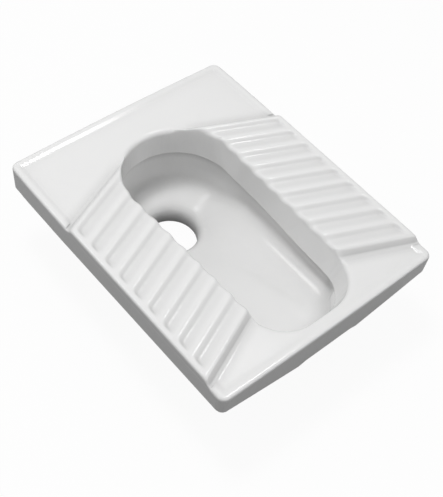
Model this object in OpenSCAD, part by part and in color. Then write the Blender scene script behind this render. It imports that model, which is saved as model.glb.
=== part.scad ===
// Floor-set squat toilet pan in white vitreous china, with ribbed foot treads, a closed flush
// rim, a dished bowl that drains at the back, and two loose rubber seals.
// The cast pieces are luted together before firing, so each is modelled as its own solid.
// +X is the right-hand side, +Y is the outlet end and +Z is up. z = 0 is the plane on which the
// side skirts are bedded, and x = y = 0 is the middle of the plan.

/* [Pan outline] */
// Width across the side skirts
pan_w = 460; // [430:1:500]
// Length from the front skirt to the back skirt
pan_l = 566; // [550:1:620]
// Plan radius of the four outer corners
corner_r = 14; // [9:1:24]
// How far the back edge bows out in the middle
back_bow = 2.2; // [0.2:0.1:4]
// How far the front edge bows out in the middle
front_bow = 1.4; // [0.2:0.1:3]
// How much each side draws in at its back end
back_taper = 2.2; // [0:0.1:5]

/* [Deck] */
// Height of the deck tray above the bedding plane at the back
deck_back_h = 46.4; // [42:0.2:56]
// Height of the deck tray above the bedding plane at the front
deck_front_h = 37.4; // [35:0.2:44]
// Thickness of the deck
deck_t = 10; // [7:0.5:11]
// Height of the raised border above the tray at the back
lip_back_h = 3.6; // [1:0.2:6]
// Height of the raised border above the tray at the front
lip_front_h = 2.2; // [0.6:0.2:4]
// Width of the raised border with its soft inner slope
lip_w = 20; // [15:0.5:26]
// Radius of the border's outer edge
lip_r = 5; // [3:0.5:7]

/* [Skirt] */
// Thickness of the skirt wall at the top
skirt_t = 9; // [7:0.5:10]
// How far the skirt's outer face leans in at its lower edge
skirt_draft = 2.5; // [0:0.1:3.5]
// How far the front skirt reaches below the bedding plane
front_drop = 25; // [12:1:30]
// Depth of the shallow notch in the middle of the front skirt
front_notch = 4.5; // [0.5:0.5:8]
// Half width of that notch
front_notch_half = 50; // [35:1:60]

/* [Foot treads] */
// Height of the rib crests above the deck tray
tread_h = 12.4; // [8:0.2:16]
// Ribs on each tread
rib_count = 10; // [9:1:10]
// Distance from crest to crest, front to back
rib_pitch = 37.1; // [36:0.1:38]
// Depth of the hollow between two ribs
rib_depth = 4.6; // [3:0.1:6]
// Share of the pitch taken by the steep side of a rib
rib_steep = 0.36; // [0.25:0.01:0.5]
// Angle between a rib and the width of the pan
rib_angle = 22.9; // [18:0.1:25]
// How far in from the back edge the back crest would cross the pan's middle line
crest_inset = 89.4; // [84:0.2:94]
// Length of the slope from the deck up to the back crest
back_ramp = 17; // [12:0.5:22]
// Length of the slope from the front crest down to the deck
front_ramp = 15; // [10:0.5:18]
// Width of the plain strip along each tread's outer edge
strip_w = 11; // [8:0.5:14]
// Radius of the tread's edge over the well
tread_inner_r = 7; // [4:0.5:8]
// Radius of the tread's edge over the skirt
tread_outer_r = 4.5; // [3:0.5:6]

/* [Well and flush rim] */
// Radius of the well's round back end
well_r = 103; // [98:1:106]
// Depth of the deck behind the well
deck_behind = 81; // [78:1:86]
// Depth of the deck in front of the well
deck_front = 28; // [24:0.5:31]
// Radius of the well's two front corners
well_corner_r = 70; // [60:1:76]
// Half width of the well at its front corners
well_front_half = 96; // [92:1:99]
// Thickness of the curtain wall that hangs round the well
curtain_t = 9; // [7:0.5:9.5]
// Height of the curtain's lower edge
curtain_z = -15; // [-19:0.5:-12]
// How far the curtain's lower edge leans in at the front
front_lean = 12; // [6:0.5:14]
// How far it leans in at the front ends of the sides
side_lean = 5.5; // [2:0.5:6]
// How far it leans in at the back
back_lean = -1.5; // [-2:0.5:2]
// Radius with which the deck rolls over into the curtain
roll_r = 8.5; // [5:0.5:8.5]
// Clear width of the flush channel behind the curtain
channel_w = 21; // [18:0.5:24]
// Thickness of the channel's outer wall
channel_wall_t = 8; // [6:0.5:9]
// Thickness of the jet plate that floors the channel
jet_plate_t = 6; // [4:0.5:8]
// Flush jets on each side of the jet plate
jet_count = 13; // [8:1:16]
// Bore of each jet
jet_d = 4; // [3:0.2:4.4]

/* [Bowl] */
// How far the bowl wall stands back behind the edge of the well
recess = 14; // [13:0.5:15]
// Wall thickness of the bowl
bowl_t = 9; // [7:0.5:9.5]
// How far the walls lean in down to their turn
bowl_lean = 3; // [1:0.5:5]
// Height at which the walls begin to turn in at the front
bowl_wall_z = -30; // [-34:1:-26]
// Height of the elliptical turn between wall and floor
bowl_turn_h = 29; // [24:1:32]
// How far that turn reaches in from the edge of the well
bowl_turn_in = 42; // [36:1:44]
// Height of the turn round the outlet
back_turn_h = 26; // [22:1:28]
// How far the turn reaches in round the outlet
back_turn_in = 18; // [14:1:20]
// Height of the floor at the foot of the front wall
floor_front_z = -60; // [-64:1:-58]
// How far the foot of the walls falls from there to the back
floor_fall = 32; // [24:1:36]
// Height of the floor at the foot of the back wall, where it dips round the outlet
floor_back_z = -110; // [-112:1:-106]
// Height at which the floor rolls over into the outlet
sump_z = -113; // [-114:0.5:-111]

/* [Outlet] */
// How far the outlet's centre lies behind the centre of the well's round end
outlet_shift = 14; // [8:1:18]
// Bore of the outlet
outlet_bore_d = 99; // [90:1:102]
// Wall thickness of the outlet spigot
spigot_t = 7.5; // [6:0.5:9]
// Radius with which the bowl floor rolls into the outlet
outlet_roll_r = 24; // [20:1:25]
// Height of the outlet's lower end
outlet_end_z = -157; // [-170:0.5:-157]
// Height of the rubber ring round the spigot
outlet_seal_h = 14; // [10:1:16]
// Outer diameter of that ring, which enters the trap's socket
outlet_seal_d = 125; // [122:0.5:130]

/* [Flush inlet] */
// Height of the inlet's axis
inlet_z = 6; // [5:0.5:7]
// Bore of the ceramic inlet
inlet_bore_d = 40; // [36:1:42]
// Wall thickness of the ceramic inlet
inlet_t = 7; // [5:0.5:7.5]
// How far the inlet's end stays inside the back edge
inlet_setback = 7; // [6:0.5:9]
// Bore of the rubber cone, which takes the flush pipe
flush_pipe_d = 32; // [25:1:32]
// Length of the rubber cone inside the inlet
cone_l = 22; // [14:1:24]
// Thickness of the rubber cone's flange
cone_flange_t = 4; // [3:0.5:5]

/* [Webs under the deck] */
// Thickness of each web
web_t = 9; // [7:0.5:12]
// How far the back webs stand in front of the centre of the well's round end
web_back_shift = 15; // [10:1:30]
// How far the front webs stand behind the centres of the well's front corners
web_front_shift = 65; // [50:1:80]
// Height of the webs' lower edges
web_z = 6; // [2:1:12]

/* [Hidden] */
glaze = [0.93, 0.93, 0.92];
rubber = [0.14, 0.14, 0.15];
$fn = 96;
// Steps along each kind of stretch in the outlines and profiles
arc_steps = 20;
corner_steps = 10;
side_steps = 10;
edge_steps = 4;
wave_steps = 12;
ramp_steps = 4;
turn_steps = 6;
floor_steps = 7;
roll_steps = 5;
// More than the pan's size, for cuts that go right through
reach = 400;
// How far a cutter passes through a face that it shares
eps = 0.5;
// Gap between a polygonal piece and the round one inside it
facet_gap = 0.3;

half_w = pan_w / 2;
half_l = pan_l / 2;
deck_rise = (deck_back_h - deck_front_h) / pan_l;
deck_mid_h = (deck_back_h + deck_front_h) / 2;
rib_slant = tan(rib_angle);
first_crest = half_l - crest_inset;
last_crest = first_crest - (rib_count - 1) * rib_pitch;
tread_back = first_crest + back_ramp;
tread_front = last_crest - front_ramp;
well_front_y = deck_front - half_l;
well_y = half_l - deck_behind - well_r;
well_corner_x = well_front_half - well_corner_r;
well_corner_y = well_front_y + well_corner_r;
// The flush channel's outer side and the shelf under it, measured out from the well
channel_off = curtain_t + channel_w;
shelf_off = channel_off + channel_wall_t;
shelf_z = curtain_z + jet_plate_t;
channel_end_y = well_corner_y + 3;
outlet_y = well_y + outlet_shift;
outlet_r = outlet_bore_d / 2;
spigot_r = outlet_r + spigot_t;
outlet_joint_z = sump_z - outlet_roll_r;
inlet_r = inlet_bore_d / 2;
inlet_start_y = half_l - deck_behind + shelf_off - facet_gap;
inlet_end_y = half_l - inlet_setback;

function mix(a, b, s) = a + (b - a) * s;
function clamp(v) = min(1, max(0, v));
function soft(v) = clamp(v) * clamp(v) * (3 - 2 * clamp(v));
function on_circle(centre, r, a) = [centre[0] + r * cos(a), centre[1] + r * sin(a)];
// The right half of an outline, from front to back, joined to its mirror image
function both_halves(half) =
    concat(half, [for (i = [len(half) - 1 : -1 : 0]) if (half[i][0] > 0.001) [-half[i][0], half[i][1]]]);

// Height of the deck tray at a place y
function tray_z(y) = deck_mid_h + deck_rise * y;
// Height of the raised border above the tray at a place y
function lip_h(y) = mix(lip_front_h, lip_back_h, y / pan_l + 0.5);
// Share of that height at a distance in from the edge
function lip_share(inset) = 1 - soft((inset - 0.4 * lip_w) / (0.6 * lip_w));

// The pan's outline, drawn in by inset
function half_width(y) = half_w - back_taper * pow(clamp((y - 0.4 * half_l) / (0.6 * half_l)), 2);
function outline(inset) =
    let (r = max(corner_r - inset, 1.5),
         front_x = half_w - inset - r, back_x = half_width(half_l) - inset - r,
         front_y = front_bow + inset + r - half_l, back_y = half_l - back_bow - inset - r)
    both_halves(concat(
        [for (i = [0 : edge_steps - 1])
            let (x = front_x * i / edge_steps) [x, inset - half_l + front_bow * pow(x / front_x, 2)]],
        [for (i = [0 : corner_steps]) on_circle([front_x, front_y], r, -90 + 90 * i / corner_steps)],
        [for (i = [1 : side_steps - 1])
            let (y = mix(front_y, back_y, i / side_steps)) [half_width(y) - inset, y]],
        [for (i = [0 : corner_steps]) on_circle([back_x, back_y], r, 90 * i / corner_steps)],
        [for (i = [edge_steps - 1 : -1 : 0])
            let (x = back_x * i / edge_steps) [x, half_l - inset - back_bow * pow(x / back_x, 2)]]));

// The well's outline at the curtain's face, moved out by off: a straight front, two round front
// corners, and two straight sides that run tangent into the round back end
side_angle = let (dy = well_y - well_corner_y, gap = norm([well_corner_x, dy]))
    atan2(dy, -well_corner_x) - acos((well_corner_r - well_r) / gap);
function side_foot(off) = on_circle([well_corner_x, well_corner_y], well_corner_r + off, side_angle);
function side_head(off) = on_circle([0, well_y], well_r + off, side_angle);
function well(off) =
    both_halves(concat(
        [for (i = [0 : 1]) [well_corner_x * i / 2, well_front_y - off]],
        [for (i = [0 : corner_steps])
            on_circle([well_corner_x, well_corner_y], well_corner_r + off,
                      mix(-90, side_angle, i / corner_steps))],
        [for (i = [1 : side_steps - 1]) mix(side_foot(off), side_head(off), i / side_steps)],
        [for (i = [0 : arc_steps])
            on_circle([0, well_y], well_r + off, mix(side_angle, 90, i / arc_steps))]));
well_face = well(0);
well_out = well(1) - well_face;
// The well's half width at a place y behind its front corners
function well_half(y) =
    y > side_head(0)[1] ? sqrt(max(0, well_r * well_r - pow(y - well_y, 2)))
                        : side_head(0)[0] + (side_head(0)[1] - y) * tan(side_angle);

// A solid through rings of points, closed by its first and last ring
module stacked(rings) {
    n = len(rings[0]);
    last = (len(rings) - 1) * n;
    walls = [for (j = [0 : len(rings) - 2]) for (i = [0 : n - 1])
        let (a = j * n + i, b = j * n + (i + 1) % n) each [[a, b + n, b], [a, a + n, b + n]]];
    ends = [[for (i = [0 : n - 1]) i], [for (i = [n - 1 : -1 : 0]) last + i]];
    polyhedron([for (ring = rings) each ring], concat(ends, walls), convexity = 6);
}
// A ring-shaped solid through closed sections, where the last section joins the first
module looped(sections) {
    n = len(sections);
    m = len(sections[0]);
    faces = [for (i = [0 : n - 1]) for (j = [0 : m - 1])
        let (a = i * m, b = ((i + 1) % n) * m, k = (j + 1) % m)
            each [[a + j, a + k, b + k], [a + j, b + k, b + j]]];
    polyhedron([for (section = sections) each section], faces, convexity = 8);
}

// The outer body: leaning skirt, rolled border and shallow tray
function border_ring(inset, drop) =
    [for (p = outline(inset)) [p[0], p[1], tray_z(p[1]) + lip_share(inset) * lip_h(p[1]) - drop]];
module outer_body() {
    stacked(concat(
        [[for (p = outline(skirt_draft)) [p[0], p[1], -front_drop - eps]], border_ring(0, lip_r)],
        [for (a = [30 : 30 : 90]) border_ring(lip_r * (1 - cos(a)), lip_r * (1 - sin(a)))],
        [for (s = [0.4 : 0.12 : 1]) border_ring(s * lip_w, 0)]));
}
// The space above a plane that lies depth below the deck tray
module above_tray(depth) {
    translate([0, 0, deck_mid_h - depth])
        rotate([atan(deck_rise), 0, 0])
            translate([-reach, -reach, 0])
                cube([2 * reach, 2 * reach, reach]);
}
// Plan of the seat that the right tread's outer edge takes in the raised border
module tread_seat() {
    linear_extrude(reach)
        polygon([for (c = [[half_w - 2 * lip_w, tread_front], [reach, tread_front], [reach, tread_back],
                           [half_w - 2 * lip_w, tread_back]]) [c[0], c[1] - c[0] * rib_slant]]);
}
module deck() {
    color(glaze)
        difference() {
            intersection() {
                outer_body();
                above_tray(deck_t);
            }
            linear_extrude(reach)
                polygon(well(curtain_t));
            for (side = [0, 1])
                mirror([side, 0, 0])
                    intersection() {
                        above_tray(0);
                        tread_seat();
                    }
        }
}

// Everything below the skirt's lower edge: level at the sides and back, and dropping at the
// front to a shallow notch in the middle
module below_skirt() {
    knee = front_notch_half + 14;
    half = [[0, front_notch - front_drop], [front_notch_half - 2, front_notch - front_drop],
            [front_notch_half + 6, front_notch / 2 - front_drop], [knee, -front_drop],
            [half_w - corner_r, 0], [reach, 0]];
    translate([-reach, 2 * corner_r - half_l, -reach])
        cube([2 * reach, 2 * reach, reach]);
    translate([0, 3 * corner_r - half_l, 0])
        rotate([90, 0, 0])
            linear_extrude(reach)
                polygon(concat([for (i = [len(half) - 1 : -1 : 1]) [-half[i][0], half[i][1]]], half,
                               [[reach, -reach], [-reach, -reach]]));
}
// The arch in the back skirt through which the flush pipe comes in
module inlet_arch() {
    arch_r = inlet_r + inlet_t + 2;
    translate([0, half_l + skirt_t, inlet_z])
        rotate([90, 0, 0])
            linear_extrude(3 * skirt_t)
                union() {
                    circle(arch_r);
                    translate([-arch_r, -reach])
                        square([2 * arch_r, reach]);
                }
}
module skirt() {
    color(glaze)
        difference() {
            outer_body();
            above_tray(deck_t);
            translate([0, 0, -reach / 2])
                linear_extrude(reach)
                    polygon(outline(skirt_t));
            below_skirt();
            inlet_arch();
        }
}

// Height of the ribs above the tray; run is the distance forward from the back crest
function rib_top(run) =
    let (part = run / rib_pitch - floor(run / rib_pitch), rise = part > rib_steep,
         turn = rise ? 1 - (part - rib_steep) / (1 - rib_steep) : part / rib_steep)
    tread_h - rib_depth * (1 - cos(180 * turn)) / 2;
// Height of the tread along a line that crosses the pan's middle at c; share blends the ribs
// into the plain strip
function tread_top(c, share) =
    c > first_crest ? tread_h * max(0.05, soft((tread_back - c) / back_ramp)) :
    c < last_crest ? tread_h * max(0.05, soft((c - tread_front) / front_ramp)) :
    mix(tread_h, rib_top(first_crest - c), share);
// The place where such a line meets the edge of the well
function tread_inner(c, x = 100, tries = 5) =
    tries == 0 ? x : tread_inner(c, well_half(c - rib_slant * x), tries - 1);
// One cross-section of the right tread, along the rib line through c: up from the well, over the
// ribs to the plain strip, and down the outer side
function tread_section(c) =
    let (x0 = tread_inner(c), x1 = half_w - strip_w, top = tread_top(c, 1), side = tread_top(c, 0),
         ri = min(tread_inner_r, 0.9 * top),
         line = concat(
             [[x0, 0]],
             [for (a = [0 : 30 : 90]) [x0 + ri * (1 - cos(a)), top - ri * (1 - sin(a))]],
             [[x1 - 5, top], [x1 - 2, mix(top, side, 0.35)], [x1 + 1, mix(top, side, 0.9)]],
             [for (a = [90 : -30 : 0])
                 [half_w - tread_outer_r * (1 - cos(a)), side - min(tread_outer_r, side) * (1 - sin(a))]],
             [[half_w, 0]]))
    [for (q = line)
        let (y = c - rib_slant * q[0], x = q[0] - half_w + half_width(y),
             lip = q[0] > x1 - lip_w ? lip_share(half_w - q[0]) * lip_h(y) : 0)
        [q[0] > x1 ? x : q[0], y, tray_z(y) + (q[1] > 0 ? max(q[1], min(lip, side)) : 0)]];
function tread_lines() = concat(
    [for (i = [0 : ramp_steps - 1]) mix(tread_back, first_crest, i / ramp_steps)],
    [for (i = [0 : wave_steps * (rib_count - 1)]) first_crest - i * rib_pitch / wave_steps],
    [for (i = [1 : ramp_steps]) mix(last_crest, tread_front, i / ramp_steps)]);
module tread() {
    stacked([for (c = tread_lines()) tread_section(c)]);
}
module right_tread() {
    color(glaze)
        tread();
}
module left_tread() {
    color(glaze)
        mirror([1, 0, 0])
            tread();
}

// The curtain: rolled over at the top where the deck meets the well at the back and front, square
// under the treads, and rounded along its hanging edge
tread_back_y = tread_back - rib_slant * tread_inner(tread_back);
tread_front_y = tread_front - rib_slant * tread_inner(tread_front);
function roll_at(y) =
    roll_r * max(0.04, soft((y - tread_back_y + 8) / 12), soft((tread_front_y + 4 - y) / 14));
// How far the curtain's lower edge leans in from the edge of the well: most round the front, where
// the curtain runs out into the bowl's wall
function curtain_lean(y) = mix(mix(front_lean, side_lean, soft((y - well_corner_y + 50) / 75)),
                                back_lean, soft((y - well_corner_y - 35) / 170));
module rim_curtain() {
    foot_r = 3;
    // Most lean that leaves the outer face upright, so that it still meets the flush channel
    max_channel_lean = 6.5;
    color(glaze)
        looped([for (i = [0 : len(well_face) - 1])
            let (y = well_face[i][1], r = roll_at(y), top = tray_z(y), lean = curtain_lean(y),
                 outer = curtain_t - max(0, lean - max_channel_lean),
                 section = concat(
                     [[outer, curtain_z + 1], [curtain_t, tray_z(y - curtain_t * sign(y))]],
                     [for (a = [90 : -18 : 0]) [r * (1 - cos(a)), top - r * (1 - sin(a))]],
                     [for (a = [180 : 30 : 270])
                         [foot_r * (1 + cos(a)) - lean, curtain_z + foot_r * (1 + sin(a))]],
                     [[outer - 1, curtain_z]]))
            [for (q = section) let (p = well_face[i] + well_out[i] * q[0])
                [p[0], p[1], q[1] > 0 ? q[1] - top + tray_z(p[1]) : q[1]]]]);
}

// The part of a plan that lies behind a place y
module behind(y) {
    intersection() {
        children();
        translate([-reach, y])
            square(2 * reach);
    }
}
// Outer wall of the flush channel, closed at both front ends and open to the inlet at the back
module channel_wall() {
    color(glaze)
        difference() {
            translate([0, 0, shelf_z])
                linear_extrude(reach)
                    difference() {
                        behind(channel_end_y - channel_wall_t)
                            polygon(well(shelf_off));
                        behind(channel_end_y)
                            polygon(well(channel_off));
                        polygon(well(curtain_t));
                    }
            above_tray(deck_t);
            translate([0, half_l, inlet_z])
                rotate([90, 0, 0])
                    cylinder(h = half_l - well_y, r = inlet_r);
        }
}

// Floor of the flush channel, with its two rows of jets over the bowl wall
module jet_plate() {
    jet_off = (curtain_t + recess) / 2;
    color(glaze)
        translate([0, 0, shelf_z])
            difference() {
                linear_extrude(jet_plate_t)
                    behind(channel_end_y)
                        difference() {
                            polygon(well(channel_off));
                            polygon(well(curtain_t));
                        }
                for (side = [-1, 1])
                    for (i = [0 : jet_count - 1])
                        translate([side * mix(side_foot(jet_off)[0], side_head(jet_off)[0],
                                              (i + 1) / jet_count),
                                   mix(channel_end_y + 8, side_head(jet_off)[1], i / (jet_count - 1)),
                                   -eps])
                            cylinder(h = jet_plate_t + 2 * eps, d = jet_d);
            }
}

// The bowl. Each section runs down its inner side from the shelf that carries the flush channel,
// round an elliptical turn, down the floor towards the outlet's axis and over a roll into the
// outlet, and back up its outer side. At the front the recess, the shelf and the channel fade
// out, so that the wall comes up flush under the curtain.
function fade(y, start, length) = soft((y - well_corner_y - start) / length);
// Share of the shapes round the outlet at a place y, and how it grows towards the back
dip_start = outlet_y - 88;
dip_l = 100;
function dip(y) = soft((y - dip_start) / dip_l);
function dip_growth(y) = let (t = clamp((y - dip_start) / dip_l)) 6 * t * (1 - t) / dip_l;
// Height of the floor at the foot of the wall, and its slope towards the back
fall_rate = floor_fall / (well_y + well_r - well_front_y);
dip_drop = floor_front_z - floor_fall - floor_back_z;
function floor_foot_z(y) = floor_front_z - fall_rate * (y - well_front_y) - dip_drop * dip(y);
function foot_slope(y) = -fall_rate - dip_drop * dip_growth(y);
// The place on section i at a distance out from the edge of the well
function place(i, off) = well_face[i] + well_out[i] * off;
// The inner side's measures at section i: where the wall starts and where it meets the turn, how
// far the turn reaches in and how high it is, and the height of its foot
function wall_at(i) =
    let (y = well_face[i][1], back = mix(-curtain_lean(y), recess, fade(y, -37, 48)),
         side = min(back, recess - 0.8 * (curtain_lean(y) - back_lean)) - bowl_lean,
         foot = floor_foot_z(y))
    [back, side, side + mix(bowl_turn_in, back_turn_in, dip(y)),
     min(mix(bowl_turn_h, back_turn_h, dip(y)), bowl_wall_z - foot), foot];
// Offset and height of the turn at an angle, moved out by t
function turn_at(w, a, t) = [w[1] - w[2] + (w[2] + t) * cos(a), w[4] + w[3] - (w[3] + t) * sin(a)];
// Angle at which the turn reaches a slope
function turn_end(w, slope) = atan2(w[3], slope * w[2]);
// A place on the roll in the direction dir from the outlet's axis, moved under by t
function roll_at_angle(dir, a, t) =
    concat(on_circle([0, outlet_y], outlet_r + outlet_roll_r - (outlet_roll_r - t) * sin(a), dir),
           outlet_joint_z + (outlet_roll_r - t) * cos(a));
// Level distance from the turn's end to the start of the roll, both at the same slope
function floor_run(i, w, slope) =
    norm(place(i, turn_at(w, turn_end(w, slope), 0)[0]) - [0, outlet_y])
    - outlet_r - outlet_roll_r * (1 - sin(atan(slope)));
// Slope of the straight line that touches both
function floor_slope(i, w, slope = 0.2, tries = 6) = tries == 0 ? slope :
    let (drop = turn_at(w, turn_end(w, slope), 0)[1] - sump_z + outlet_roll_r * (1 - cos(atan(slope))))
    floor_slope(i, w, max(0.02, (slope + drop / floor_run(i, w, slope)) / 2), tries - 1);
// A height between z0 and z1 at a share t of a run that starts and ends at the falls f0 and f1
function eased(z0, z1, f0, f1, run, t) =
    z0 + (z1 - z0) * t * t * (3 - 2 * t) - run * t * (1 - t) * (f0 * (1 - t) - f1 * t);
function bowl_section(i) =
    let (y = well_face[i][1], n = well_out[i], w = wall_at(i), back = w[0],
         shelf = max(mix(back + bowl_t, shelf_off, fade(y, -34, 30)), back + bowl_t + 0.5),
         top = mix(curtain_z, shelf_z, fade(y, -4, 7)),
         slope = floor_slope(i, w), long = clamp((floor_run(i, w, slope) - 20) / 230),
         inward = [0, outlet_y] - place(i, w[1] - w[2]),
         start = slope * mix(1, 0.3, long) / max(0.5, -n * inward / norm(inward)), a1 = turn_end(w, start),
         fall = slope * mix(1, 1.7, long), a2 = atan(fall),
         from = place(i, turn_at(w, a1, 0)[0]), from_z = turn_at(w, a1, 0)[1],
         under = place(i, turn_at(w, a1, bowl_t)[0]),
         dir = atan2(from[1] - outlet_y, from[0]), d = -[cos(dir), sin(dir)],
         to = roll_at_angle(dir, a2, 0), to_under = roll_at_angle(dir, a2, bowl_t),
         run = norm([to[0], to[1]] - from),
         along = n[0] * (n[0] * d[1] - n[1] * d[0]),
         fall0 = -start * (n * d) - foot_slope(y) * along)
    concat(
        [concat(place(i, back), top)],
        [for (k = [0 : turn_steps])
            let (q = turn_at(w, a1 * k / turn_steps, 0)) concat(place(i, q[0]), q[1])],
        [for (k = [1 : floor_steps - 1]) let (s = k / floor_steps)
            concat(mix(from, [to[0], to[1]], s), eased(from_z, to[2], fall0, fall, run, s))],
        [for (k = [0 : roll_steps]) roll_at_angle(dir, mix(a2, 90, k / roll_steps), 0)],
        [for (k = [roll_steps : -1 : 0]) roll_at_angle(dir, mix(a2, 90, k / roll_steps), bowl_t)],
        [for (k = [floor_steps - 1 : -1 : 1]) let (s = k / floor_steps)
            concat(mix(under, [to_under[0], to_under[1]], s),
                   eased(from_z, to[2], fall0, fall, run, s) - bowl_t)],
        [for (k = [turn_steps : -1 : 0])
            let (q = turn_at(w, a1 * k / turn_steps, bowl_t)) concat(place(i, q[0]), q[1])],
        [concat(place(i, back + bowl_t), top - bowl_t - 4), concat(place(i, shelf), top - bowl_t),
         concat(place(i, shelf), top)]);
module bowl() {
    color(glaze)
        looped([for (i = [0 : len(well_face) - 1]) bowl_section(i)]);
}

// The outlet spigot: a plain tube, luted to the foot of the bowl's roll
module outlet_spigot() {
    color(glaze)
        translate([0, outlet_y, outlet_end_z])
            rotate_extrude()
                translate([outlet_r, 0])
                    square([spigot_t, outlet_joint_z - outlet_end_z]);
}

// The flush inlet: a horn from the back skirt to the channel wall
module flush_inlet() {
    color(glaze)
        translate([0, inlet_end_y, inlet_z])
            rotate([90, 0, 0])
                difference() {
                    cylinder(h = inlet_end_y - inlet_start_y, r = inlet_r + inlet_t);
                    translate([0, 0, -eps])
                        cylinder(h = reach, r = inlet_r);
                }
}

// Webs that tie the channel wall to the side skirts and carry the treads
module cross_webs() {
    color(glaze)
        for (side = [0, 1])
            mirror([side, 0, 0])
                for (y = [well_y - web_back_shift, well_corner_y + web_front_shift])
                    difference() {
                        translate([0, y - web_t / 2, web_z])
                            cube([half_w - skirt_t, web_t, deck_back_h]);
                        linear_extrude(reach)
                            polygon(well(shelf_off));
                        above_tray(deck_t);
                    }
}

// Rubber ring round the spigot, tapered to enter the trap's socket
module outlet_seal() {
    seal_r = outlet_seal_d / 2;
    lead = 2;
    color(rubber)
        translate([0, outlet_y, outlet_end_z])
            rotate_extrude()
                polygon([[spigot_r, 0], [seal_r - lead, 0], [seal_r, lead], [seal_r, outlet_seal_h - lead],
                         [seal_r - lead, outlet_seal_h], [spigot_r, outlet_seal_h]]);
}

// Rubber cone in the inlet, with a flange against its end
module inlet_cone() {
    pipe_r = flush_pipe_d / 2;
    color(rubber)
        translate([0, inlet_end_y, inlet_z])
            rotate([90, 0, 0])
                rotate_extrude()
                    polygon([[pipe_r, -cone_flange_t], [inlet_r + inlet_t - 1, -cone_flange_t],
                             [inlet_r + inlet_t - 1, 0], [inlet_r, 0], [inlet_r, 0.5 * cone_l],
                             [pipe_r + 1.5, cone_l], [pipe_r, cone_l]]);
}

deck();
skirt();
left_tread();
right_tread();
rim_curtain();
channel_wall();
jet_plate();
bowl();
outlet_spigot();
flush_inlet();
cross_webs();
outlet_seal();
inlet_cone();
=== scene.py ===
import math

import bpy
from mathutils import Matrix, Vector
from mathutils.bvhtree import BVHTree


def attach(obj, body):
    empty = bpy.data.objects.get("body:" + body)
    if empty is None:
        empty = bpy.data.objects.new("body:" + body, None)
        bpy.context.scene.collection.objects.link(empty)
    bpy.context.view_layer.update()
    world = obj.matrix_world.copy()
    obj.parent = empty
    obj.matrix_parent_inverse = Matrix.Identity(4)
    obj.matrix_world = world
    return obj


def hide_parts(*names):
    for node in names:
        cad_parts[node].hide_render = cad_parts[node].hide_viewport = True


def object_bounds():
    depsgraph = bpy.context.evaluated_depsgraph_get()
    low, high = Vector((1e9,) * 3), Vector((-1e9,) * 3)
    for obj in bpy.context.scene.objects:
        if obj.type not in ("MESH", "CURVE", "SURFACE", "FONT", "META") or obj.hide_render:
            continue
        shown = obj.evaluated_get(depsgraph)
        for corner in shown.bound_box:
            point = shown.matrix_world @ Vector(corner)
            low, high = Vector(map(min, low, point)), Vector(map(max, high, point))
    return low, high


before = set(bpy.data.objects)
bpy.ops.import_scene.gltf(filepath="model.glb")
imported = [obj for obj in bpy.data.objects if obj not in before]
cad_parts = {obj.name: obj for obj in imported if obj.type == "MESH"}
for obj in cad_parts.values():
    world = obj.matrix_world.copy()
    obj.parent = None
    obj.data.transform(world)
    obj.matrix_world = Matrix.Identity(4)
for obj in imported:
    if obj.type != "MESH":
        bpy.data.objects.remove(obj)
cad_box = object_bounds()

# The glazed pan: deck, skirt, foot treads, flush curtain, bowl and outlet tube.
# Vitreous china, cast in pieces that are luted together while the clay is soft, and sponged until
# no joint shows. The body is fired once under white glaze, and rests in the kiln on its bare foot.
LUTED_PIECES = ["deck", "skirt", "left_tread", "right_tread", "rim_curtain", "bowl",
                "outlet_spigot"]
SAME_POINT = 0.00001
CLAY_GRAIN = 0.0016
SPONGE_SHARE = 0.5
SPONGE_PASSES = 4
PAN_TRIANGLES = 196000


def select_only(*pieces):
    bpy.ops.object.select_all(action="DESELECT")
    for piece in pieces:
        piece.select_set(True)
    bpy.context.view_layer.objects.active = pieces[0]


def apply_modifier(piece, kind, **settings):
    modifier = piece.modifiers.new(kind.lower(), kind)
    for setting, value in settings.items():
        setattr(modifier, setting, value)
    select_only(piece)
    bpy.ops.object.modifier_apply(modifier=modifier.name)


select_only(*[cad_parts[name] for name in LUTED_PIECES])
bpy.ops.object.duplicate()
pan = bpy.context.view_layer.objects.active
bpy.ops.object.join()
pan.parent = None
pan.name = "glazed_pan"
for label in list(pan.keys()):
    del pan[label]
bpy.ops.object.mode_set(mode="EDIT")
bpy.ops.mesh.select_all(action="SELECT")
bpy.ops.mesh.remove_doubles(threshold=SAME_POINT)
bpy.ops.object.mode_set(mode="OBJECT")
pan.data.remesh_voxel_size = CLAY_GRAIN
pan.data.remesh_voxel_adaptivity = 0.0
bpy.ops.object.voxel_remesh()
apply_modifier(pan, "SMOOTH", factor=SPONGE_SHARE, iterations=SPONGE_PASSES)

# The bowl's floor is worked smooth by hand in the mould, so its hollow has no creases. The
# smoothing grows from nothing at the wall and at the outlet to its full depth between them.
OUTLET_Y, OUTLET_R = 0.113, 0.0495
FLOOR_TOP_Z, FLOOR_SURE_Z = -0.042, -0.056
OUTLET_LIP, OUTLET_CLEAR = 0.018, 0.040
FLOOR_PASSES = 120


def ramp(value, low, high):
    """A share that runs smoothly from 0 at low to 1 at high."""
    share = min(1.0, max(0.0, (value - low) / (high - low)))
    return share * share * (3 - 2 * share)


floor_share = pan.vertex_groups.new(name="bowl_floor")
for vertex in pan.data.vertices:
    spot = vertex.co
    if spot.z < FLOOR_TOP_Z:
        to_outlet = math.hypot(spot.x, spot.y - OUTLET_Y) - OUTLET_R
        weight = (ramp(-spot.z, -FLOOR_TOP_Z, -FLOOR_SURE_Z)
                  * ramp(to_outlet, OUTLET_LIP, OUTLET_CLEAR))
        if weight > 0:
            floor_share.add([vertex.index], weight, "REPLACE")
apply_modifier(pan, "SMOOTH", factor=SPONGE_SHARE, iterations=FLOOR_PASSES,
               vertex_group="bowl_floor")
apply_modifier(pan, "DECIMATE", ratio=min(1, PAN_TRIANGLES / (2 * len(pan.data.polygons))))
bpy.ops.object.shade_smooth()

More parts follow.
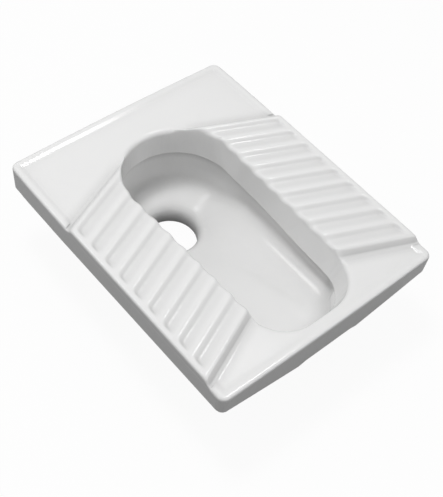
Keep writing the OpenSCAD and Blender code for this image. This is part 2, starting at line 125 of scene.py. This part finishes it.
# The map "bare" goes with the mesh. It marks the clay that the glaze never reached: all that lies
# under the deck, except the well's own inner side, and the foot that the body was fired on.
WELL_FRONT_Y, WELL_BACK_Y = -0.185, 0.099
WELL_REACH = 0.135
SKY_LIFT = 0.004

tree = BVHTree.FromPolygons([vertex.co for vertex in pan.data.vertices],
                            [face.vertices for face in pan.data.polygons])
bare = pan.data.attributes.new("bare", "FLOAT", "POINT")
up = Vector((0, 0, 1))
for vertex in pan.data.vertices:
    spot, out = vertex.co, vertex.normal
    if tree.ray_cast(spot + out * SKY_LIFT, up)[0]:
        spine = Vector((0, max(WELL_FRONT_Y, min(WELL_BACK_Y, spot.y)), spot.z))
        inward = (spine - spot).normalized()
        faces_well = out.dot(inward) + max(0, out.z) > 0.0
        in_well = (spine - spot).length < WELL_REACH and faces_well
        bare.data[vertex.index].value = 0.0 if in_well else 1.0

# The pan's finish: clear gloss over white china, with painted shade that greys it in hollows and
# recesses, such as under the flush curtain and between the ribs, and dull and creamy where the
# clay is bare.
# The glaze ends in an edge that wavers with its patches.
GLAZE_SKIN = {"Light Tone": (0.870, 0.870, 0.867, 1), "Dark Tone": (0.850, 0.850, 0.847, 1),
              "Patch Scale": 9.0, "Grain Scale": 70.0, "Grain Strength": 0.08}
CLAY_SKIN = {"Light Tone": (0.74, 0.71, 0.65, 1), "Dark Tone": (0.66, 0.63, 0.57, 1),
             "Patch Scale": 26.0, "Grain Scale": 420.0, "Grain Strength": 0.55}
GLAZE_SPECULAR, GLAZE_COAT_ROUGHNESS = 0.2, 0.15
GLAZE_ROUGHNESS, CLAY_ROUGHNESS = 0.38, 0.85
# Painted shade: an occlusion test this far out greys the glaze's colour in hollows and under
# overhangs.
HOLLOW_REACH = 0.024
PAINTED_SHADE_STOPS = [(0.45, 0.26), (0.90, 0.84), (1.0, 1.0)]
EDGE_WAVER = 0.5
EDGE_START, EDGE_END = 0.65, 0.85
PATCH_DETAIL, GRAIN_DETAIL = 3.0, 2.0
GRAIN_HEIGHT = 0.0006


def feed(links, value, socket):
    """Set a socket to a number or colour, or link another node's output to it."""
    if isinstance(value, bpy.types.NodeSocket):
        links.new(value, socket)
    else:
        socket.default_value = value


def mix(nodes, links, kind, share, first, second, blend="MIX"):
    """A colour or vector that runs from first to second as share goes from 0 to 1."""
    node = nodes.new("ShaderNodeMix")
    node.data_type = kind
    node.blend_type = blend
    for value, name in [(share, "Factor"), (first, "A"), (second, "B")]:
        feed(links, value, node.inputs[name])
    return node.outputs["Result"]


def between(nodes, links, share, low, high):
    """A number that runs from low to high as share goes from 0 to 1."""
    node = nodes.new("ShaderNodeMapRange")
    node.inputs["To Min"].default_value = low
    node.inputs["To Max"].default_value = high
    links.new(share, node.inputs["Value"])
    return node.outputs["Result"]


def work_out(nodes, links, operation, *values):
    """The result of a sum on numbers and on other nodes' outputs."""
    node = nodes.new("ShaderNodeMath")
    node.operation = operation
    for value, socket in zip(values, node.inputs):
        feed(links, value, socket)
    return node.outputs[0]


def mottle_and_grain():
    """Patches of two close tones and a fine grain, as on fired clay, glaze and moulded rubber."""
    group = bpy.data.node_groups.new("mottle_and_grain", "ShaderNodeTree")
    for name, kind in [("Light Tone", "Color"), ("Dark Tone", "Color"), ("Patch Scale", "Float"),
                       ("Grain Scale", "Float"), ("Grain Strength", "Float")]:
        group.interface.new_socket(name=name, in_out="INPUT", socket_type="NodeSocket" + kind)
    for name, kind in [("Color", "Color"), ("Patches", "Float"), ("Normal", "Vector")]:
        group.interface.new_socket(name=name, in_out="OUTPUT", socket_type="NodeSocket" + kind)
    nodes, links = group.nodes, group.links
    given, result = nodes.new("NodeGroupInput"), nodes.new("NodeGroupOutput")
    place = nodes.new("ShaderNodeTexCoord")
    patches, grain = nodes.new("ShaderNodeTexNoise"), nodes.new("ShaderNodeTexNoise")
    patches.inputs["Detail"].default_value = PATCH_DETAIL
    grain.inputs["Detail"].default_value = GRAIN_DETAIL
    for texture, scale in [(patches, "Patch Scale"), (grain, "Grain Scale")]:
        links.new(place.outputs["Object"], texture.inputs["Vector"])
        links.new(given.outputs[scale], texture.inputs["Scale"])
    tone = mix(nodes, links, "RGBA", patches.outputs["Fac"],
               given.outputs["Dark Tone"], given.outputs["Light Tone"])
    bump = nodes.new("ShaderNodeBump")
    bump.inputs["Distance"].default_value = GRAIN_HEIGHT
    links.new(grain.outputs["Fac"], bump.inputs["Height"])
    links.new(given.outputs["Grain Strength"], bump.inputs["Strength"])
    links.new(tone, result.inputs["Color"])
    links.new(patches.outputs["Fac"], result.inputs["Patches"])
    links.new(bump.outputs["Normal"], result.inputs["Normal"])
    return group


mottle = mottle_and_grain()


def place_mottle(nodes, skin):
    placed = nodes.new("ShaderNodeGroup")
    placed.node_tree = mottle
    for name, value in skin.items():
        placed.inputs[name].default_value = value
    return placed.outputs


def tone_with_painted_shade(nodes, links, tone):
    """The glaze's own tone with painted shade: greyer the more an occlusion test finds it closed
    in.
    """
    hollow = nodes.new("ShaderNodeAmbientOcclusion")
    hollow.inputs["Distance"].default_value = HOLLOW_REACH
    # Painted shade: the ramp turns the occlusion into greys that multiply the glaze's colour.
    painted_shade_ramp = nodes.new("ShaderNodeValToRGB")
    stops = painted_shade_ramp.color_ramp.elements
    stops.new(PAINTED_SHADE_STOPS[1][0])
    for stop, (openness, shade) in zip(stops, PAINTED_SHADE_STOPS):
        stop.position = openness
        stop.color = (shade, shade, shade, 1)
    links.new(hollow.outputs["AO"], painted_shade_ramp.inputs["Fac"])
    return mix(nodes, links, "RGBA", 1.0, tone, painted_shade_ramp.outputs["Color"], blend="MULTIPLY")


def bare_clay_share(nodes, links, patches):
    """How far the clay is bare, from 0 under glaze to 1, with a wavering edge between."""
    reach = nodes.new("ShaderNodeAttribute")
    reach.attribute_name = "bare"
    edge = nodes.new("ShaderNodeMapRange")
    edge.interpolation_type = "SMOOTHSTEP"
    edge.inputs["From Min"].default_value = EDGE_START
    edge.inputs["From Max"].default_value = EDGE_END
    wavering = work_out(nodes, links, "MULTIPLY_ADD", patches, EDGE_WAVER, reach.outputs["Fac"])
    links.new(wavering, edge.inputs["Value"])
    return edge.outputs["Result"]


def start_material(name, specular):
    material = bpy.data.materials.new(name)
    material.use_nodes = True
    nodes, links = material.node_tree.nodes, material.node_tree.links
    shader = nodes["Principled BSDF"].inputs
    shader["Specular IOR Level"].default_value = specular
    return material, nodes, links, shader


def white_glaze_over_china():
    material, nodes, links, shader = start_material("white_glaze", GLAZE_SPECULAR)
    shader["Coat Roughness"].default_value = GLAZE_COAT_ROUGHNESS
    glaze, clay = place_mottle(nodes, GLAZE_SKIN), place_mottle(nodes, CLAY_SKIN)
    share = bare_clay_share(nodes, links, glaze["Patches"])
    # The base colour carries painted shade in hollows, under the curtain and between the ribs.
    glaze_with_painted_shade = tone_with_painted_shade(nodes, links, glaze["Color"])
    links.new(mix(nodes, links, "RGBA", share, glaze_with_painted_shade, clay["Color"]), shader["Base Color"])
    links.new(between(nodes, links, share, GLAZE_ROUGHNESS, CLAY_ROUGHNESS), shader["Roughness"])
    links.new(between(nodes, links, share, 1.0, 0.0), shader["Coat Weight"])
    links.new(mix(nodes, links, "VECTOR", share, glaze["Normal"], clay["Normal"]),
              shader["Normal"])
    return material


pan.data.materials.clear()
pan.data.materials.append(white_glaze_over_china())
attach(pan, "root")
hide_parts(*LUTED_PIECES)


# The flush channel's outer wall and jet plate, the inlet horn and the webs under the deck.
# Slabs and short tubes of the same china, luted on behind the deck where no glaze is poured, so
# they keep the dull, faintly sandy face of the fired clay.
HIDDEN_CHINA = ["channel_wall", "jet_plate", "flush_inlet", "cross_webs"]
BARE_SPECULAR = 0.3
BARE_ROUGHNESS = 0.78, 0.92


def one_skin_material(name, specular, skin, roughness):
    """A plain finish of one skin, whose roughness changes with the skin's patches."""
    material, nodes, links, shader = start_material(name, specular)
    face = place_mottle(nodes, skin)
    links.new(face["Color"], shader["Base Color"])
    links.new(between(nodes, links, face["Patches"], *roughness), shader["Roughness"])
    links.new(face["Normal"], shader["Normal"])
    return material


def give_finish(names, material):
    for name in names:
        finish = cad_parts[name].data.materials
        finish.clear()
        finish.append(material)


give_finish(HIDDEN_CHINA,
            one_skin_material("bare_china", BARE_SPECULAR, CLAY_SKIN, BARE_ROUGHNESS))


# The outlet's seal ring and the inlet's cone. Black rubber, moulded, pushed on dry over the tube
# and into the horn. A grey bloom dulls it in patches, and its skin has the mould's fine grain.
RUBBER_PIECES = ["outlet_seal", "inlet_cone"]
RUBBER_SKIN = {"Light Tone": (0.045, 0.045, 0.047, 1), "Dark Tone": (0.018, 0.018, 0.019, 1),
               "Patch Scale": 60.0, "Grain Scale": 900.0, "Grain Strength": 0.35}
RUBBER_SPECULAR = 0.4
RUBBER_ROUGHNESS = 0.48, 0.72

give_finish(RUBBER_PIECES,
            one_skin_material("seal_rubber", RUBBER_SPECULAR, RUBBER_SKIN, RUBBER_ROUGHNESS))


# The photograph's camera. Its place and tilt were solved from the pan's straight edges, and its
# lens from how much they draw together with distance.
CAMERA_PLACE = Vector((-0.76850, -0.73297, 1.28290))
CAMERA_AZIMUTH, CAMERA_ELEVATION = math.radians(-47.09), math.radians(51.62)
CAMERA_ROLL = math.radians(8.59)
LENS_MM, SENSOR_MM = 70.71, 36

forward = -Vector((math.sin(CAMERA_AZIMUTH) * math.cos(CAMERA_ELEVATION),
                   -math.cos(CAMERA_AZIMUTH) * math.cos(CAMERA_ELEVATION),
                   math.sin(CAMERA_ELEVATION)))
level = forward.to_track_quat("-Z", "Y").to_matrix()
turn = level @ Matrix.Rotation(CAMERA_ROLL, 3, "Z")
camera = bpy.data.objects.new("camera", bpy.data.cameras.new("camera"))
camera.data.lens = LENS_MM
camera.data.sensor_width = SENSOR_MM
camera.matrix_world = Matrix.Translation(CAMERA_PLACE) @ turn.to_4x4()
bpy.context.scene.collection.objects.link(camera)
bpy.context.scene.camera = camera

# The studio's floor: white paper just under the outlet. The camera sees it plain white with the
# pan's faint shadow. It is dim in the glaze, and throws little light back up at the pan.
FLOOR_SIZE, FLOOR_GAP = 30, 0.002
PAPER_ROUGHNESS = 0.9
SEEN_PAPER, UNSEEN_PAPER = (0.9, 0.9, 0.9, 1), (0.05, 0.05, 0.05, 1)
SHADOW_SHARE = 0.06
GLOSS_SHARE = 0.25


def white_paper():
    material, nodes, links, shader = start_material("white_paper", 0.0)
    shader["Roughness"].default_value = PAPER_ROUGHNESS
    white = nodes.new("ShaderNodeEmission")
    ray = nodes.new("ShaderNodeLightPath").outputs
    gloss = work_out(nodes, links, "MULTIPLY", ray["Is Glossy Ray"], GLOSS_SHARE)
    seen = work_out(nodes, links, "MAXIMUM", ray["Is Camera Ray"], gloss)
    seen = work_out(nodes, links, "MAXIMUM", seen, ray["Is Transmission Ray"])
    links.new(mix(nodes, links, "RGBA", seen, UNSEEN_PAPER, SEEN_PAPER), shader["Base Color"])
    glow = nodes.new("ShaderNodeMixShader")
    links.new(work_out(nodes, links, "MULTIPLY", seen, 1 - SHADOW_SHARE), glow.inputs["Fac"])
    links.new(nodes["Principled BSDF"].outputs[0], glow.inputs[1])
    links.new(white.outputs[0], glow.inputs[2])
    links.new(glow.outputs[0], nodes["Material Output"].inputs["Surface"])
    return material


bpy.ops.mesh.primitive_plane_add(size=FLOOR_SIZE, location=(0, 0, cad_box[0].z - FLOOR_GAP))
floor = bpy.context.object
floor.name = "floor"
floor.data.materials.append(white_paper())

# The studio's light: an even soft sky, and one lamp nearly overhead, a little behind the pan and
# to its left. Three panels light nothing: the glaze mirrors them as soft glints on round edges.
SKY_LIGHT = 0.45
OVERHEAD = (-0.33, 0.31, 2.25), 0.5, 27
PANELS = {"rib_panel": ((0.75, 0.15, 2.10), 0.38, 5.0),
          "left_panel": ((-0.74, 1.05, 1.91), 0.5, 3.0),
          "front_panel": ((1.06, -1.32, 1.56), 0.8, 3.5)}


def hang_lamp(name, place, size, watts):
    lamp = bpy.data.objects.new(name, bpy.data.lights.new(name, "AREA"))
    lamp.data.size = size
    lamp.data.energy = watts
    lamp.location = place
    lamp.rotation_euler = (-Vector(place)).to_track_quat("-Z", "Y").to_euler()
    bpy.context.scene.collection.objects.link(lamp)
    return lamp


world = bpy.context.scene.world or bpy.data.worlds.new("sky")
bpy.context.scene.world = world
world.use_nodes = True
sky = world.node_tree.nodes["Background"]
sky.inputs["Color"].default_value = (1, 1, 1, 1)
sky.inputs["Strength"].default_value = SKY_LIGHT
hang_lamp("overhead", *OVERHEAD).visible_glossy = False
for name, hanging in PANELS.items():
    hang_lamp(name, *hanging).visible_diffuse = False

bpy.context.scene.view_settings.view_transform = "Standard"
